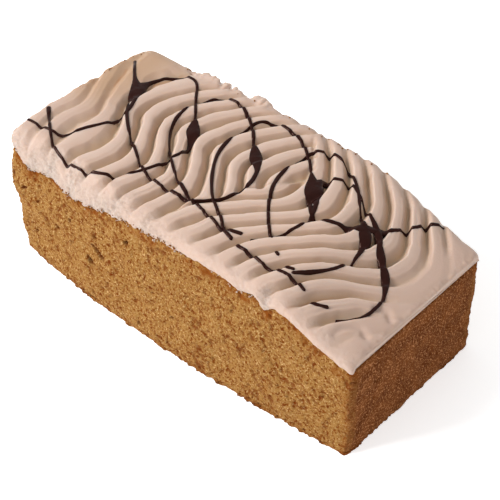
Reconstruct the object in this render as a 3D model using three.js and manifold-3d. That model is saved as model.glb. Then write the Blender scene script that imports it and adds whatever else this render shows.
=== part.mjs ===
// Iced coffee loaf cake: a sponge under combed icing that carries a looped chocolate drizzle.
// Millimetres. X runs along the loaf from the cut end to the tin end, Y from front to back, Z up.
import * as THREE from 'three';
import Module from 'manifold-3d';
import { mergeVertices } from 'three/addons/utils/BufferGeometryUtils.js';

const { clamp, lerp, smoothstep } = THREE.MathUtils;

// Loaf
const LENGTH = 200;
const HALF = LENGTH / 2;
const BASE_HALF_WIDTH = 43.7;
const BASE_FLARE = 0.6;
const BASE_BOW = 6.2;
const BASE_SKEW = 0.25;
const FRONT = { sign: -1, halfWidth: 42.6, bow: 2.2 };
const BACK = { sign: 1, halfWidth: 42.8, bow: 4.6 };
const SIDE_HEIGHT = 62;
const CORNER_RADIUS = 2.5;
const CUT_BULGE = { depth: 5, length: 16, height: 44, spread: 18 };
const BASE_EDGE = 1;
const TOP_EDGE = 1.4;
const LUMP_FADE = { low: [0, 12], high: [40, 56] };
const BROAD_LUMPS = { height: 0.7, rate: 0.11, shift: 0.6 };
const LUMP_RATE_UP = 0.12;
const SMALL_LUMPS = { height: 0.4, rate: 0.27, shift: 0 };
const SMALL_LUMP_SLANT = 0.2;

// Crown: the smooth surface that the icing's rims reach
const CROWN_HEIGHT = 70.8;
const CROWN_SLOPE = 0.02;
const CROWN_TILT = 2;
const TIN_DROP = { front: 12, back: 14.8 };
const TIN_DROP_START = { front: 56, back: 34 };
const TIN_DROP_END = 106;

// Icing
const ICING_THICK = 10;
const ICING_THIN = 5.6;
const ICING_AT_TIN_END = 4.8;
const ICING_AT_CUT_END = 7;
const THINNING = [-45, 30];
const TIN_END_THINNING = [45, HALF];
const CUT_END_THINNING = [-HALF, -86];
const ICING_FILL = { depth: 1.5, fromEnd: 20 };
const ICING_END = HALF - 0.6;
const LEAST_ICING = 1.8;
const ICING_LIP = 1.1;
const JOINT_GAP = 0.3;
const FRONT_ROLL = { width: 10, lipHeight: 1.9 };
const BACK_ROLL = { width: 8, drop: 3.6 };
const TIN_ROLL = { width: 5, drop: 1.4 };
const CUT_ROLL = { width: 10, drop: 1 };
const FRONT_HANG = [[100, 6.3], [80, 7], [60, 7], [55, 10.4], [49, 6.6], [42, 8.2], [30, 6.4], [0, 8],
  [-28, 11], [-43, 15], [-58, 18], [-75, 15], [-86, 17], [-93, 13], [-99, 8.6]];
const BACK_HANG = 1.2;
const BACK_WAVE = { height: 0.6, rate: 0.23, shift: 0 };

// Combed ridges: the rims of a comb's ridges are copies of one bent line, a pitch apart along the loaf
const COMB_DEPTH = 4.3;
const COMB_PROFILE = [[1, 1], [0.79, 0], [0.73, 0.02], [0.47, 0.9], [0, 1]];
const GROOVE_PHASE = 0.76;
const FIRST_COMB = {
  pitch: 10.55,
  rim: -18,
  turns: [-11, 5],
  bend: [[45, 16], [35, 8], [25, 1.6], [18, -0.7], [10, -2.3], [4, -1], [-3, 3.9], [-12, 10], [-18, 13.2],
    [-24, 13.8], [-32, 12.5], [-45, 9]],
};
const CUT_END_BEND = [[45, -22], [10, -4.5], [-8, 4], [-20, 3], [-45, 6]];
const CUT_END_BLEND = [-90, -64];
const SECOND_COMB = {
  pitch: 10.9,
  rim: 36.8,
  turns: [-2, 9],
  bend: [[48, -24], [40, -15.6], [32, -8.6], [25, -3.9], [18, -0.9], [10, 0], [4, -1.2], [-3, -6],
    [-12, -14.8], [-20, -22.4], [-26, -26.6], [-32, -29.5], [-48, -35]],
};
const COMB_BORDER = [[50, 7], [40, 10], [28, 20], [18, 21], [10, 18], [-10, 5], [-25, -3], [-48, -9]];
const COMB_BORDER_BLUR = 2.5;
const CUT_END_FADE = { from: -68, to: -86, share: 0.25 };
const TIN_END_FADE = { from: 79, to: 92, share: 0.1 };
const FRONT_FADE = { from: -36, to: -44, share: 0 };
const BACK_FADE = { from: 37, to: 46, share: 0.3 };

// Chocolate drizzle: a line laid in overlapping loops from the tin end to the cut end, broken at the front
const DRIZZLE_HALF_WIDTH = 1.1;
const DRIZZLE_TOP_SHARE = 0.45;
const DRIZZLE_RISE = 0.9;
const DRIZZLE_SINK = 2.5;
const TAIL = [[80, 44], [75.5, 36], [71, 26], [65, 16.5], [58, 10], [51, 5], [42, 1.5], [36, 6], [31, 14.5],
  [30, 21], [34, 26]];
const WIDE_ARC = [[40, 28], [55, 21], [64.5, 16], [74, 6.7], [82, -0.5], [87.5, -9], [88.5, -16], [86.5, -24],
  [81, -32]];
const LEFT_ARC = [[20, -17], [9, -5], [2.5, 6], [0, 17], [0, 27], [3, 35], [10, 38]];
const RIGHT_ARC = [[-38, 37], [-24, 28], [-17, 21], [-9.5, 14], [-3, 7], [0, -3], [-2, -12], [-7, -19],
  [-12, -25]];
const LOOPS = [
  { foot: [[37, -20]], left: 13, spread: 1, right: 68, low: 1.2 },
  { foot: [[26, -26], [18, -28], [11.5, -24]], left: -19.5, spread: 1, right: 41, low: 1 },
  { foot: [[24.5, -31], [8, -27], [-6, -24]], left: -49.5, spread: 1.4, right: 7.5, low: 1 },
];
const LAST_LOOP = { foot: [[-18, -26.5], [-32, -25]], left: -77.5, spread: 1.55 };
const LAST_ARC = [[-50, 26], [-37, 11], [-30, -1], [-31, -14], [-36, -29], [-46, -38.5], [-60, -41.7],
  [-74, -40], [-86, -32], [-98, -22]];
const CUT_END_STROKE = [[-96, 32], [-86, 22], [-76, 13.5], [-69, 1], [-68.5, -8], [-73, -20], [-78, -31],
  [-87, -34], [-98, -35]];
const FRONT_DASHES = [
  [[77, -31], [70.5, -36]],
  [[66, -33], [57, -31.5], [45, -33.5], [34, -32.5], [27, -33]],
  [[56, -27.5], [50, -30]],
  [[46, -26], [42, -24.5]],
];
const POOL_LENGTH = 13;
const POOL_SINK = 1.2;
const POOLS = [[31, 14.5, 4.2], [62, 8, 3], [66, 14.5, 1.8], [74, 6.5, 2], [81.5, 0, 2], [-2, 14, 3],
  [-36, 9, 3.2], [-77, 15, 3.2]];

// How finely each surface is divided
const SPONGE_STATIONS = 28;
const SPONGE_SIDE_POINTS = 6;
const SPONGE_TOP_POINTS = 7;
const SPONGE_BASE_POINTS = 4;
const END_CROWDING = 0.35;
const ICING_ROWS = 21;
const SHOULDER_SHARE = 0.014;
const COMB_LINE_PHASES = [0, 0.47, 0.73, 0.79];
const LEAST_STRIP = 0.5;
const LIP_FLOOR = 3;
const UNDERSIDE_DEPTH = 14;
const DRIZZLE_STEP = 0.5;
const DRIZZLE_STEPS_APART = { least: 4, most: 12 };
const HALVING = { reach: 20, turns: 40 };
const PLACE_TURNS = 12;
const MERGE_DISTANCE = 1e-3;
const FUSING_TOLERANCE = 0.02;

const SPONGE_FINISH = { color: 0xbe8741, roughness: 0.95 };
const ICING_FINISH = { color: 0xc9b0a0, roughness: 0.6 };

const bowAt = (x) => 1 - (x / HALF) ** 2;
const bell = (offset, halfWidth) => Math.exp(-((offset / halfWidth) ** 2));
const wave = (x, { height, rate, shift }) => height * Math.sin(x * rate + shift);
const quarterRound = (inward, width) => 1 - Math.sqrt(1 - (1 - clamp(inward / width, 0, 1)) ** 2);

// Value of a line given by a few [place, value] pairs with places falling, eased between them
function along(pairs, place) {
  const next = pairs.findIndex(([p]) => p <= place);
  if (next === 0) {
    return pairs[0][1];
  }
  if (next < 0) {
    return pairs.at(-1)[1];
  }
  const [p0, v0] = pairs[next - 1];
  const [p1, v1] = pairs[next];
  const before = pairs[Math.max(next - 2, 0)];
  const after = pairs[Math.min(next + 1, pairs.length - 1)];
  const slope0 = (v1 - before[1]) / (p1 - before[0]);
  const slope1 = (after[1] - v0) / (after[0] - p0);
  const span = p1 - p0;
  const t = (place - p0) / span;
  return v0 * (1 + 2 * t) * (1 - t) ** 2 + slope0 * span * t * (1 - t) ** 2
    + v1 * t * t * (3 - 2 * t) + slope1 * span * t * t * (t - 1);
}

// Half width of the loaf at a height on one side; the base is wider than the top
function halfWidthAt(x, z, side) {
  const skew = x / HALF;
  const base = BASE_HALF_WIDTH + BASE_FLARE * skew + BASE_BOW * bowAt(x) * (1 - BASE_SKEW * skew);
  const top = side.halfWidth + side.bow * bowAt(x);
  const nearCut = bell(x + HALF, CUT_BULGE.length) * bell(z - CUT_BULGE.height, CUT_BULGE.spread);
  return lerp(base, top, clamp(z / SIDE_HEIGHT, 0, 1)) + CUT_BULGE.depth * nearCut;
}

// How far the rounded vertical corners draw a side in near the ends
function cornerInset(x) {
  const past = clamp(Math.abs(x) - (HALF - CORNER_RADIUS), 0, CORNER_RADIUS);
  return CORNER_RADIUS - Math.sqrt(CORNER_RADIUS ** 2 - past ** 2);
}

const acrossAt = (y) => clamp(y / FRONT.halfWidth, -1, 1);

function crown(x, y) {
  const across = acrossAt(y);
  const toBack = (across + 1) / 2;
  const start = lerp(TIN_DROP_START.front, TIN_DROP_START.back, toBack);
  const drop = lerp(TIN_DROP.front, TIN_DROP.back, toBack) * smoothstep(x, start, TIN_DROP_END);
  return CROWN_HEIGHT - CROWN_SLOPE * x + CROWN_TILT * across * smoothstep(x, -HALF, 0) - drop;
}

function icingThickness(x) {
  const middle = lerp(ICING_THICK, ICING_THIN, smoothstep(x, ...THINNING));
  const inside = lerp(middle, ICING_AT_TIN_END, smoothstep(x, ...TIN_END_THINNING));
  return lerp(ICING_AT_CUT_END, inside, smoothstep(x, ...CUT_END_THINNING));
}

// The sponge's top lies a little deeper under the middle of the icing than at its edges
function spongeTop(x, y) {
  const inside = (1 - acrossAt(y) ** 2) * smoothstep(HALF - Math.abs(x), 0, ICING_FILL.fromEnd);
  return crown(x, y) - icingThickness(x) - ICING_FILL.depth * inside;
}

// Height of a comb's ridges, 0 in a groove to 1 on a rim: from the rim a broad top falls slowly, then
// steeply to the groove, and the wall towards the cut end is steeper still
const combProfile = (phase) => along(COMB_PROFILE, phase - Math.floor(phase));

// Where the line of a given phase of each comb lies at y
function firstCombLine(phase, y) {
  const straight = FIRST_COMB.rim + FIRST_COMB.pitch * phase;
  const usual = smoothstep(straight, ...CUT_END_BLEND);
  return straight + lerp(along(CUT_END_BEND, y), along(FIRST_COMB.bend, y), usual);
}

function secondCombLine(phase, y) {
  return SECOND_COMB.rim + SECOND_COMB.pitch * phase + along(SECOND_COMB.bend, y);
}

// Phase of the first comb's line through a place, by halving
function firstCombPhase(x, y) {
  let low = -HALVING.reach;
  let high = HALVING.reach;
  for (let turn = 0; turn < HALVING.turns; turn += 1) {
    const middle = (low + high) / 2;
    if (firstCombLine(middle, y) < x) {
      low = middle;
    } else {
      high = middle;
    }
  }
  return low;
}

function secondCombPhase(x, y) {
  return (x - secondCombLine(0, y)) / SECOND_COMB.pitch;
}

const combBorder = (y) => along(COMB_BORDER, y);

// Depth of the grooves at a place: full in the middle, fading at the front shoulder and the ends
function combDepth(x, y) {
  const fade = (place, { from, to, share }) => lerp(1, share, clamp((place - from) / (to - from), 0, 1));
  const ends = fade(x, CUT_END_FADE) * fade(x, TIN_END_FADE);
  const wanted = COMB_DEPTH * ends * fade(y, FRONT_FADE) * fade(y, BACK_FADE);
  return Math.min(wanted, crown(x, y) - spongeTop(x, y) - LEAST_ICING);
}

function combRelief(x, y) {
  const border = combBorder(y);
  const second = smoothstep(x, border - COMB_BORDER_BLUR, border + COMB_BORDER_BLUR);
  const ridge = lerp(combProfile(firstCombPhase(x, y)), combProfile(secondCombPhase(x, y)), second);
  return (ridge - 1) * combDepth(x, y);
}

// How far below the crown the icing's edge hangs on the front face: like a curtain towards the cut end
const frontHang = (x) => along(FRONT_HANG, x);

const frontLip = (x) => crown(x, -FRONT.halfWidth) - frontHang(x);
const backLip = (x) => crown(x, BACK.halfWidth) - icingThickness(x) - BACK_HANG - wave(x, BACK_WAVE);

function icingEdge(x, side) {
  const lip = side === FRONT ? frontLip(x) : backLip(x);
  return side.sign * (halfWidthAt(x, lip, side) - cornerInset(x) + ICING_LIP);
}

// Top of the icing: the crown with the combed grooves, rolled over the front, the back and both ends
function icingTop(x, y) {
  const frontRoll = quarterRound(y - icingEdge(x, FRONT), FRONT_ROLL.width);
  const backRoll = quarterRound(icingEdge(x, BACK) - y, BACK_ROLL.width);
  const tinRoll = quarterRound(ICING_END - x, TIN_ROLL.width);
  const cutRoll = quarterRound(x + HALF, CUT_ROLL.width);
  const frontDrop = (frontHang(x) - FRONT_ROLL.lipHeight) * frontRoll;
  const endDrop = TIN_ROLL.drop * tinRoll + CUT_ROLL.drop * cutRoll;
  return crown(x, y) + combRelief(x, y) - frontDrop - BACK_ROLL.drop * backRoll - endDrop;
}

// Slight unevenness of the loaf's long sides
function sideLump(x, z) {
  const fade = smoothstep(z, ...LUMP_FADE.low) * (1 - smoothstep(z, ...LUMP_FADE.high));
  const broad = wave(x, BROAD_LUMPS) * Math.sin(z * LUMP_RATE_UP);
  return fade * (broad + wave(x, { ...SMALL_LUMPS, shift: z * SMALL_LUMP_SLANT }));
}

// A closed body through closed rings of [x, y, z] points, all with as many points, with flat ends
// split into the faces that capFaces gives for a ring
function loft(rings, capFaces) {
  const size = rings[0].length;
  const points = rings.flat();
  const last = points.length - size;
  const rise = (from, to) => Math.abs(points[from][2] - points[to][2]);
  const index = [];
  for (let start = 0; start < last; start += size) {
    for (let k = 0; k < size; k += 1) {
      const a = start + k;
      const b = start + (k + 1) % size;
      const [c, d] = [b + size, a + size];
      index.push(...(rise(a, c) < rise(b, d) ? [a, b, c, a, c, d] : [a, b, d, b, c, d]));
    }
  }
  capFaces(rings[0]).forEach(([a, b, c]) => index.push(a, c, b));
  capFaces(rings.at(-1)).forEach(([a, b, c]) => index.push(last + a, last + b, last + c));
  const geometry = new THREE.BufferGeometry();
  geometry.setAttribute('position', new THREE.Float32BufferAttribute(points.flat(), 3));
  geometry.setIndex(index);
  return geometry;
}

function sectionFaces(ring) {
  return THREE.ShapeUtils.triangulateShape(ring.map(([, y, z]) => new THREE.Vector2(y, z)), []);
}

// Sponge outline at x, from the front of the base round to the front again, grown by a margin
function spongeSection(x, grow) {
  const inset = cornerInset(x) - grow;
  const sideTop = (side) => spongeTop(x, side.sign * side.halfWidth) - TOP_EDGE;
  const sidePoint = (side, t) => {
    const z = lerp(BASE_EDGE, sideTop(side), t);
    return [side.sign * (halfWidthAt(x, z, side) - inset + sideLump(x, z)), z];
  };
  const topReach = (side) => side.sign * (halfWidthAt(x, SIDE_HEIGHT, side) - inset - TOP_EDGE);
  const baseReach = (side) => side.sign * (halfWidthAt(x, 0, side) - inset - BASE_EDGE);
  const points = [];
  for (let k = 0; k < SPONGE_BASE_POINTS; k += 1) {
    points.push([lerp(baseReach(FRONT), baseReach(BACK), k / (SPONGE_BASE_POINTS - 1)), 0]);
  }
  for (let k = 0; k < SPONGE_SIDE_POINTS; k += 1) {
    points.push(sidePoint(BACK, k / (SPONGE_SIDE_POINTS - 1)));
  }
  for (let k = 0; k < SPONGE_TOP_POINTS; k += 1) {
    const y = lerp(topReach(BACK), topReach(FRONT), k / (SPONGE_TOP_POINTS - 1));
    points.push([y, spongeTop(x, y) + grow]);
  }
  for (let k = SPONGE_SIDE_POINTS - 1; k >= 0; k -= 1) {
    points.push(sidePoint(FRONT, k / (SPONGE_SIDE_POINTS - 1)));
  }
  return points;
}

// Stations along the loaf, closer together where the corners round off
function spongeGeometry(grow) {
  const rings = [];
  for (let s = 0; s <= SPONGE_STATIONS; s += 1) {
    const even = 2 * s / SPONGE_STATIONS - 1;
    const place = HALF * lerp(even, Math.sin(Math.PI / 2 * even), END_CROWDING);
    const x = place + (Math.abs(even) === 1 ? Math.sign(even) * grow : 0);
    rings.push(spongeSection(place, grow).map(([y, z]) => [x, y, z]));
  }
  return loft(rings, sectionFaces);
}

// Lines across the icing that follow its rims and grooves, from the cut end to the tin end.
// Each gives x at y; one that would pass an end or the border of its comb stops there.
function combLines() {
  const stop = (x, low, high) => {
    if (x < low + LEAST_STRIP) {
      return low;
    }
    return x > high - LEAST_STRIP ? high : x;
  };
  const phases = ([from, to]) => {
    const whole = Array.from({ length: to - from }, (_, k) => from + k);
    return whole.flatMap((turn) => COMB_LINE_PHASES.map((share) => turn + share));
  };
  const firstLine = (phase) => (y) => stop(firstCombLine(phase, y), -HALF, combBorder(y));
  const secondLine = (phase) => (y) => stop(secondCombLine(phase, y), combBorder(y), ICING_END);
  const first = phases(FIRST_COMB.turns).map(firstLine);
  const second = phases(SECOND_COMB.turns).map(secondLine);
  return [() => -HALF, ...first, combBorder, ...second, () => ICING_END];
}

// Place on a line at a share of the way from the front edge of the icing to the back edge
function linePlace(line, share) {
  let x = line(0);
  let y = 0;
  for (let turn = 0; turn < PLACE_TURNS; turn += 1) {
    y = lerp(icingEdge(x, FRONT), icingEdge(x, BACK), share);
    x = line(y);
  }
  return [x, y];
}

// Icing before the sponge is cut out of it: a block whose underside lies inside the sponge
function icingBlock() {
  const even = Array.from({ length: ICING_ROWS }, (_, row) => (row + 1) / ICING_ROWS);
  const backToFront = [0, SHOULDER_SHARE, ...even].reverse();
  const rings = combLines().map((line) => {
    const [frontX, front] = linePlace(line, 0);
    const [middleX] = linePlace(line, 0.5);
    const [backX, back] = linePlace(line, 1);
    const underside = [
      [frontX, front, frontLip(frontX)],
      [frontX, front + LIP_FLOOR, frontLip(frontX)],
      [middleX, 0, frontLip(middleX) - UNDERSIDE_DEPTH],
      [backX, back - LIP_FLOOR, backLip(backX)],
      [backX, back, backLip(backX)],
    ];
    const top = backToFront.map((share) => linePlace(line, share)).map(([x, y]) => [x, y, icingTop(x, y)]);
    return [...underside, ...top];
  });
  return loft(rings, sectionFaces);
}

// The drizzle at a place: a line that swells into pools, which fill the grooves below them
function drizzleAt({ x, y }) {
  let half = DRIZZLE_HALF_WIDTH;
  let filled = 0;
  POOLS.forEach(([poolX, poolY, poolHalf]) => {
    const near = bell(Math.hypot(x - poolX, y - poolY), POOL_LENGTH / 2);
    half = Math.max(half, lerp(DRIZZLE_HALF_WIDTH, poolHalf, near));
    filled = Math.max(filled, near);
  });
  const surface = icingTop(x, y);
  return { half, surface, top: lerp(surface, crown(x, y) - POOL_SINK, filled) + DRIZZLE_RISE };
}

// Number of rims and grooves on the cut end's side of a place
function linesPassed({ x, y }) {
  const phase = x < combBorder(y) ? firstCombPhase(x, y) : secondCombPhase(x, y);
  return Math.floor(phase) + Math.floor(phase + 1 - GROOVE_PHASE);
}

// Shares along a stroke at which it is bent: its ends, the rims and grooves that it crosses, and
// places between where those lie far apart
function drizzleStations(curve) {
  const steps = Math.ceil(curve.getLength() / DRIZZLE_STEP);
  const stations = [0];
  let passed = linesPassed(curve.getPointAt(0));
  for (let s = 1; s < steps - DRIZZLE_STEPS_APART.least; s += 1) {
    const apart = s - stations.at(-1);
    const now = linesPassed(curve.getPointAt(s / steps));
    const crossed = now !== passed && apart >= DRIZZLE_STEPS_APART.least;
    if (crossed || apart >= DRIZZLE_STEPS_APART.most) {
      stations.push(s);
      passed = now;
    }
  }
  return [...stations, steps].map((s) => s / steps);
}

// One drizzle stroke draped over the icing, its foot sunk in the icing but clear of the sponge
function drizzleStroke(points) {
  const route = points.map(([x, y]) => new THREE.Vector3(x, y, 0));
  const curve = new THREE.CatmullRomCurve3(route, false, 'centripetal');
  const rings = drizzleStations(curve).map((share) => {
    const p = curve.getPointAt(share);
    const t = curve.getTangentAt(share);
    const { half, surface, top } = drizzleAt(p);
    const foot = Math.max(surface - DRIZZLE_SINK, spongeTop(p.x, p.y) + 2 * JOINT_GAP);
    const place = (side, z) => [p.x - t.y * side * half, p.y + t.x * side * half, z];
    return [place(DRIZZLE_TOP_SHARE, top), place(-DRIZZLE_TOP_SHARE, top), place(-1, foot), place(1, foot)];
  });
  return loft(rings, () => [[0, 1, 2], [0, 2, 3]]);
}

const leftArc = ({ left, spread }) => LEFT_ARC.map(([dx, y]) => [left + dx * spread, y]);
const rightArc = ({ right, low }) => RIGHT_ARC.map(([dx, y]) => [right + dx, y < 0 ? y * low : y]);

// Each loop's stroke runs from its foot up its left arc and down its right arc
function drizzleStrokes() {
  const loops = LOOPS.map((loop) => [...loop.foot, ...leftArc(loop), ...rightArc(loop)]);
  const last = [loops.at(-1).at(-1), ...LAST_LOOP.foot, ...leftArc(LAST_LOOP), ...LAST_ARC];
  return [[...TAIL, ...WIDE_ARC], ...loops, last, CUT_END_STROKE, ...FRONT_DASHES].map(drizzleStroke);
}

const wasm = await Module();
wasm.setup();

// A body for cutting and joining; triangles that merging makes into lines are dropped
function solid(geometry) {
  const merged = mergeVertices(geometry, MERGE_DISTANCE);
  const corners = Array.from(merged.index.array);
  const triangles = [];
  for (let k = 0; k < corners.length; k += 3) {
    const [a, b, c] = corners.slice(k, k + 3);
    if (a !== b && b !== c && c !== a) {
      triangles.push(a, b, c);
    }
  }
  return new wasm.Manifold(new wasm.Mesh({
    numProp: 3,
    vertProperties: new Float32Array(merged.attributes.position.array),
    triVerts: new Uint32Array(triangles),
  }));
}

function geometryOf(body) {
  const { vertProperties, triVerts } = body.getMesh();
  const geometry = new THREE.BufferGeometry();
  geometry.setAttribute('position', new THREE.BufferAttribute(vertProperties, 3));
  geometry.setIndex(new THREE.BufferAttribute(triVerts, 1));
  return geometry;
}

// Icing with the drizzle fused to it, without the slivers and specks that fusing leaves
function icingGeometry() {
  const bare = solid(icingBlock()).subtract(solid(spongeGeometry(JOINT_GAP)));
  const iced = drizzleStrokes().reduce((body, stroke) => body.add(solid(stroke)), bare);
  const bodies = iced.simplify(FUSING_TOLERANCE).decompose();
  return geometryOf(bodies.sort((a, b) => b.volume() - a.volume())[0]);
}

function piece(name, geometry, finish) {
  const material = new THREE.MeshStandardMaterial({ ...finish, metalness: 0 });
  const mesh = new THREE.Mesh(geometry, material);
  mesh.name = name;
  geometry.computeVertexNormals();
  return mesh;
}

const cake = new THREE.Group();
cake.add(piece('sponge', spongeGeometry(0), SPONGE_FINISH));
cake.add(piece('icing', icingGeometry(), ICING_FINISH));

export default cake;
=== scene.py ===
"""Iced coffee loaf cake: open crumb, combed icing and chocolate drizzle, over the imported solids."""
import itertools
import math

import bpy
import numpy as np
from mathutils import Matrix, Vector

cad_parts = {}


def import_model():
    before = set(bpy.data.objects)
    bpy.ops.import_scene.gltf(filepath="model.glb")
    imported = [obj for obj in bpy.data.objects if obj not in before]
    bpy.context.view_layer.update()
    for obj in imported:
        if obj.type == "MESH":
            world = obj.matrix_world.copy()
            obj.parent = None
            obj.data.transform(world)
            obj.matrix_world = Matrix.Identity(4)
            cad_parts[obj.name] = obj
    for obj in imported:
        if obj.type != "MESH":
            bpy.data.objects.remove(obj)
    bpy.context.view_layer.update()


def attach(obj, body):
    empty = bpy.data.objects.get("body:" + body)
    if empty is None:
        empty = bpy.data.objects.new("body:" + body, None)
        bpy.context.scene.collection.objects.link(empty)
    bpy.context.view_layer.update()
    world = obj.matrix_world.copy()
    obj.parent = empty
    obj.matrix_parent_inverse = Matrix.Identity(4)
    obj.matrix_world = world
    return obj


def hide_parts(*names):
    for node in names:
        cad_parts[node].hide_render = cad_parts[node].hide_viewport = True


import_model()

# Sizes are in millimetres. A noise is a list of layers: height, distance between bumps and seed.
MM = 0.001

# Loaf, as in the part's source; a wave is height, rate along the loaf and shift
HALF = 100
BASE_HALF_WIDTH = 43.7
BASE_FLARE = 0.6
BASE_BOW = 6.2
BASE_SKEW = 0.25
FRONT = {"sign": -1, "half_width": 42.6, "bow": 2.2}
BACK = {"sign": 1, "half_width": 42.8, "bow": 4.6}
SIDE_HEIGHT = 62
CORNER_RADIUS = 2.5
CUT_BULGE = {"depth": 5, "length": 16, "height": 44, "spread": 18}
BASE_EDGE = 1
TOP_EDGE = 1.4
LUMP_FADE_LOW = (0, 12)
LUMP_FADE_HIGH = (40, 56)
BROAD_LUMPS = (0.7, 0.11, 0.6)
LUMP_RATE_UP = 0.12
SMALL_LUMPS = (0.4, 0.27)
SMALL_LUMP_SLANT = 0.2

# Crown: the smooth surface that the icing's crests reach
CROWN_HEIGHT = 70.8
CROWN_SLOPE = 0.02
CROWN_TILT = 2
TIN_DROP = {"front": 12, "back": 14.8}
TIN_DROP_START = {"front": 56, "back": 34}
TIN_DROP_END = 106

# Icing; its hang over the front is in pairs of place along the loaf and drop
ICING_THICK = 10
ICING_THIN = 5.6
ICING_AT_TIN_END = 4.8
ICING_AT_CUT_END = 7
THINNING = (-45, 30)
TIN_END_THINNING = (45, HALF)
CUT_END_THINNING = (-HALF, -86)
ICING_FILL = {"depth": 1.5, "from_end": 20}
ICING_END = HALF - 0.6
LEAST_ICING = 1.8
LEAST_AT_EDGE = 1
ICING_LIP = 1.1
LIP_SECTION = [(1.2, 0.1), (0.25, 0), (0, 0.6)]
FRONT_ROLL = {"width": 10, "lip_height": 1.9}
BACK_ROLL = {"width": 8, "drop": 3.6}
TIN_ROLL = {"width": 5, "drop": 1.4}
CUT_ROLL = {"width": 10, "drop": 1}
FRONT_HANG = [(100, 6.3), (80, 7), (60, 7), (55, 10.4), (49, 6.6), (42, 8.2), (30, 6.4), (0, 8),
              (-28, 11), (-43, 15), (-58, 18), (-75, 15), (-86, 17), (-93, 13), (-99, 8.6)]
CURTAIN_HANG = (7, 11)
BACK_HANG = 1.2
BACK_WAVE = (0.6, 0.23, 0)

# Combed ridges; a bend is in pairs of place across and shift along, a fade is start, end and share left
COMB_DEPTH = 4.3
COMB_PROFILE = [(0, 1), (0.47, 0.9), (0.73, 0.02), (0.79, 0), (1, 1)]
RIM_ROUNDING = 0.015
RIM_SAMPLES = 5
FIRST_PITCH = 10.55
FIRST_RIM = -18
FIRST_BEND = [(45, 16), (35, 8), (25, 1.6), (18, -0.7), (10, -2.3), (4, -1), (-3, 3.9), (-12, 10),
              (-18, 13.2), (-24, 13.8), (-32, 12.5), (-45, 9)]
CUT_END_BEND = [(45, -22), (10, -4.5), (-8, 4), (-20, 3), (-45, 6)]
CUT_END_BLEND = (-90, -64)
SECOND_PITCH = 10.9
SECOND_RIM = 36.8
SECOND_BEND = [(48, -24), (40, -15.6), (32, -8.6), (25, -3.9), (18, -0.9), (10, 0), (4, -1.2), (-3, -6),
               (-12, -14.8), (-20, -22.4), (-26, -26.6), (-32, -29.5), (-48, -35)]
COMB_BORDER = [(50, 7), (40, 10), (28, 20), (18, 21), (10, 18), (-10, 5), (-25, -3), (-48, -9)]
COMB_BORDER_BLUR = 2.5
CUT_END_FADE = (-68, -86, 0.42)
TIN_END_FADE = (79, 92, 0.1)
FRONT_FADE = (-36, -44, 0)
BACK_FADE = (37, 46, 0.3)
COMB_WAVER = [(0.07, 9, 12), (0.03, 4, 13)]
COMB_STREAK = {"height": 0.17, "width": 1.1, "length": 40, "seed": 11}
SCALLOPS = {"height": 1.8, "level": 0.6, "start": (0, 0.4), "end": (0.6, 1)}
CRESCENTS = [[(86, -38), (86.5, -33), (91, -28), (94.5, -29)], [(89, -15), (93, -13), (96, -15)]]
CRESCENT_DEPTH = 1.0
CRESCENT_HALF_WIDTH = 1.7

# Torn and whipped icing
TORN_LIP = {"least": 0.35, "most": 0.9, "noise": [(1, 3.2, 21), (0.7, 1.4, 22)]}
FOAM = {"least": 0.35, "usual": 0.8, "patches": [(0.5, 6, 31)],
        "lumps": [(0.45, 1.1, 32), (0.6, 2.4, 33)]}
RAGGED = {"usual": 0.3, "noise": [(0.6, 1.4, 35), (1, 3.4, 36)]}
RAGGED_CUT_END = {"share": 0.35, "inward": (0.5, 3)}
RAGGED_TIN_END = {"share": 0.4, "inward": (0.2, 2.5)}
TUFTS = {"share": 2.3, "start": (-78, -66), "end": (-30, -10), "inward": (1, 6)}

# Where the icing's colours lie: stains in the grooves, partly real stain and partly painted shade, are
# given by place along and across, and reach
STAIN_AND_SHADE_SPOTS = [(-68, 29, 11), (-90, 20, 15), (17, -16, 13), (52, -20, 13), (64, -31, 13)]
# Orange-brown at groove bottoms, partly real stain and partly painted shade; its cut_end share is
# painted shade
STAIN_AND_SHADE = {"strength": 0.65, "groove": (0.82, 0.98), "usual": 0.8, "patches": [(0.4, 3, 34)],
         "cut_end": 0.55}
# Painted shade by the cut end: its strength, and where it fades in along and across the loaf
CUT_END_SHADE = {"share": 0.8, "along": (68, 90), "across": (-22, 10)}
# Painted highlight on the ridges' crests, from this ridge height up
CREST_HIGHLIGHT_START = 0.91

# Chocolate drizzle
DRIZZLE_HALF_WIDTH = 0.75
DRIZZLE_HALF_HEIGHT = 0.6
DRIZZLE_SWELL = [(0.45, 12, 41)]
LEAST_END = 0.05
TUBE = {"lean": 0.6, "lift": 0.1, "sink": 0.2, "cover": 0.4}
BRIDGE = {"most": 0.75, "least": 0.1, "reach": 6, "free": 0.4, "shoulder": (30, 36), "middle": (-22, -8)}
TAIL = [(80, 44), (75.5, 36), (71, 26), (65, 16.5), (58, 10), (51, 5), (42, 1.5), (36, 6), (31, 14.5),
        (30, 21), (34, 26)]
WIDE_ARC = [(40, 28), (55, 21), (64.5, 16), (74, 6.7), (82, -0.5), (87.5, -9), (88.5, -16), (86.5, -24),
            (81, -32)]

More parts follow.
